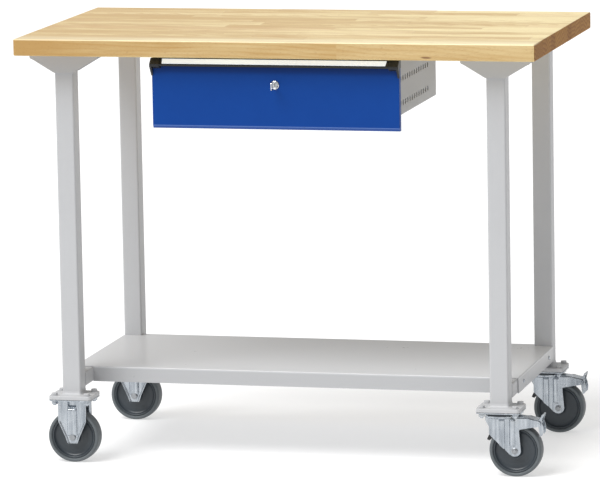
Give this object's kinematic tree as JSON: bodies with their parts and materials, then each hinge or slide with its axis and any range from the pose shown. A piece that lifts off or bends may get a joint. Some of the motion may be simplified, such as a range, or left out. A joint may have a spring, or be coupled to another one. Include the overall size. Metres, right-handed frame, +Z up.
{
  "type": "mobile workbench",
  "caption": "Mobile workbench with a beech top, lockable drawer, steel shelf, fixed castors at one end and braked swivel castors at the other.",
  "frame": {"origin": "on the floor, under the middle of the worktop", "axes": "+X along the bench towards the swivel castors, +Y from the drawer front to the back, +Z up"},
  "size_m": [1.25, 0.7, 1.025],
  "materials": {
    "beech": "oiled beech, glued staves",
    "grey_paint": "light grey powder coat, satin",
    "blue_paint": "gentian blue powder coat, satin",
    "zinc": "bright zinc plating on pressed sheet",
    "steel": "nickel-plated or turned steel",
    "tyre": "non-marking dark grey rubber",
    "wheel_core": "moulded dark grey plastic",
    "black_plastic": "moulded black plastic",
    "card": "white card label strip"
  },
  "bodies": {
    "bench_frame": {"worktop": "beech", "leg_front_left": "grey_paint", "head_bracket_front_left": "grey_paint", "foot_plate_front_left": "grey_paint", "leg_front_right": "grey_paint", "head_bracket_front_right": "grey_paint", "foot_plate_front_right": "grey_paint", "leg_back_left": "grey_paint", "head_bracket_back_left": "grey_paint", "foot_plate_back_left": "grey_paint", "leg_back_right": "grey_paint", "head_bracket_back_right": "grey_paint", "foot_plate_back_right": "grey_paint", "shelf": "grey_paint", "side_rail_left": "grey_paint", "side_rail_right": "grey_paint", "fixed_fork_front_left": "zinc", "fixed_fork_back_left": "zinc", "axle_front_left": "steel", "axle_back_left": "steel", "swivel_plate_front_right": "zinc", "swivel_plate_back_right": "zinc", "housing_side_left": "grey_paint", "housing_side_right": "grey_paint", "housing_back": "grey_paint", "housing_front_tie": "grey_paint", "runner_outer_left": "zinc", "runner_outer_right": "zinc"},
    "runner_middles": {"runner_middle_left": "zinc", "runner_middle_right": "zinc"},
    "drawer": {"drawer_front": "blue_paint", "drawer_tray": "grey_paint", "handle_strip": "black_plastic", "label_strip": "card", "handle_cap_left": "black_plastic", "handle_cap_right": "black_plastic", "lock_body": "steel", "runner_inner_left": "zinc", "runner_inner_right": "zinc"},
    "lock_plug": {"lock_cylinder": "steel", "key": "steel", "lock_cam": "zinc"},
    "wheel_front_left": {"wheel_core_front_left": "wheel_core", "tyre_front_left": "tyre"},
    "castor_fork_front_right": {"swivel_fork_front_right": "zinc", "axle_front_right": "steel"},
    "pedal_front_right": {"brake_pedal_front_right": "zinc"},
    "shoe_front_right": {"brake_shoe_front_right": "black_plastic"},
    "wheel_front_right": {"wheel_core_front_right": "wheel_core", "tyre_front_right": "tyre"},
    "wheel_back_left": {"wheel_core_back_left": "wheel_core", "tyre_back_left": "tyre"},
    "castor_fork_back_right": {"swivel_fork_back_right": "zinc", "axle_back_right": "steel"},
    "pedal_back_right": {"brake_pedal_back_right": "zinc"},
    "shoe_back_right": {"brake_shoe_back_right": "black_plastic"},
    "wheel_back_right": {"wheel_core_back_right": "wheel_core", "tyre_back_right": "tyre"}
  },
  "joints": [
    {"name": "drawer_slide", "type": "slide", "parent": "bench_frame", "child": "drawer", "axis": [0, -1, 0], "range_m": [0, 0.35]},
    {"name": "runner_slide", "type": "slide", "parent": "bench_frame", "child": "runner_middles", "axis": [0, -1, 0], "range_m": [0, 0.175]},
    {"name": "lock_turn", "type": "hinge", "parent": "drawer", "child": "lock_plug", "pos_m": [0, -0.3, 0.9195], "axis": [0, -1, 0], "range_deg": [0, 90]},
    {"name": "wheel_roll_front_left", "type": "hinge", "parent": "bench_frame", "child": "wheel_front_left", "pos_m": [-0.5205, -0.2675, 0.0625], "axis": [0, 1, 0], "continuous": true},
    {"name": "castor_swivel_front_right", "type": "hinge", "parent": "bench_frame", "child": "castor_fork_front_right", "pos_m": [0.5205, -0.2675, 0.15], "axis": [0, 0, 1], "continuous": true},
    {"name": "wheel_roll_front_right", "type": "hinge", "parent": "castor_fork_front_right", "child": "wheel_front_right", "pos_m": [0.5565, -0.2675, 0.0625], "axis": [0, 1, 0], "continuous": true},
    {"name": "brake_pedal_front_right", "type": "hinge", "parent": "castor_fork_front_right", "child": "pedal_front_right", "pos_m": [0.6135, -0.2675, 0.1285], "axis": [0, 1, 0], "range_deg": [0, 15]},
    {"name": "brake_shoe_front_right", "type": "slide", "parent": "castor_fork_front_right", "child": "shoe_front_right", "axis": [0.7934, 0, -0.6088], "range_m": [0, 0.0014]},
    {"name": "wheel_roll_back_left", "type": "hinge", "parent": "bench_frame", "child": "wheel_back_left", "pos_m": [-0.5205, 0.2675, 0.0625], "axis": [0, 1, 0], "continuous": true},
    {"name": "castor_swivel_back_right", "type": "hinge", "parent": "bench_frame", "child": "castor_fork_back_right", "pos_m": [0.5205, 0.2675, 0.15], "axis": [0, 0, 1], "continuous": true},
    {"name": "wheel_roll_back_right", "type": "hinge", "parent": "castor_fork_back_right", "child": "wheel_back_right", "pos_m": [0.5565, 0.2675, 0.0625], "axis": [0, 1, 0], "continuous": true},
    {"name": "brake_pedal_back_right", "type": "hinge", "parent": "castor_fork_back_right", "child": "pedal_back_right", "pos_m": [0.6135, 0.2675, 0.1285], "axis": [0, 1, 0], "range_deg": [0, 15]},
    {"name": "brake_shoe_back_right", "type": "slide", "parent": "castor_fork_back_right", "child": "shoe_back_right", "axis": [0.7934, 0, -0.6088], "range_m": [0, 0.0014]}
  ],
  "couplings": [
    {"joint": "runner_slide", "follows": "drawer_slide", "ratio": 0.5},
    {"joint": "brake_shoe_front_right", "follows": "brake_pedal_front_right", "m_per_rad": 0.0053},
    {"joint": "brake_shoe_back_right", "follows": "brake_pedal_back_right", "m_per_rad": 0.0053}
  ]
}
